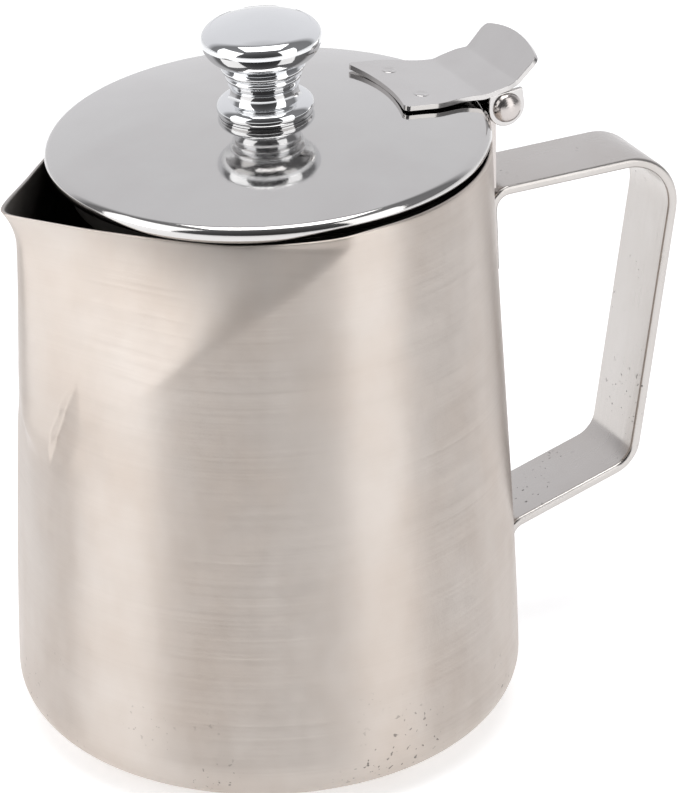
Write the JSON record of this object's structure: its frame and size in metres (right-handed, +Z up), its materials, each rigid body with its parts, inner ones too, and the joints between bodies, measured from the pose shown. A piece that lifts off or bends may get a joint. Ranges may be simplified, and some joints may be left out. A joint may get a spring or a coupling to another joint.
{
  "type": "lidded milk frothing jug",
  "caption": "Tapered stainless steel frothing jug with a pressed pouring spout, a bent strip handle, and a hinged domed lid with a turned knob and a thumb plate.",
  "frame": {"origin": "centre of the flat base, on the surface that the jug stands on", "axes": "+Z up, +X towards the handle and the lid hinge, -X towards the pouring spout, Y along the hinge pin"},
  "size_m": [0.1713, 0.1214, 0.1762],
  "materials": {
    "jug_body": "satin, fine brushing round the wall",
    "handle": "satin faces, bright rounded edges",
    "hinge_bracket": "satin",
    "hinge_pin": "fine satin",
    "thumb_plate": "polished",
    "lid_disc": "polished",
    "lid_skirt": "satin",
    "knob": "mirror chrome",
    "knob_insert": "turned",
    "knob_screw": "plain",
    "knob_washer": "plain"
  },
  "bodies": {
    "jug": {"jug_body": "jug_body", "handle": "handle", "hinge_bracket": "hinge_bracket"},
    "lid": {"lid_disc": "lid_disc", "lid_skirt": "lid_skirt", "thumb_plate": "thumb_plate", "hinge_pin": "hinge_pin", "knob": "knob", "knob_insert": "knob_insert", "knob_screw": "knob_screw", "knob_washer": "knob_washer"}
  },
  "joints": [
    {"name": "lid_hinge", "type": "hinge", "parent": "jug", "child": "lid", "pos_m": [0.0591, 0, 0.1468], "axis": [0, 1, 0], "range_deg": [0, 142]}
  ]
}
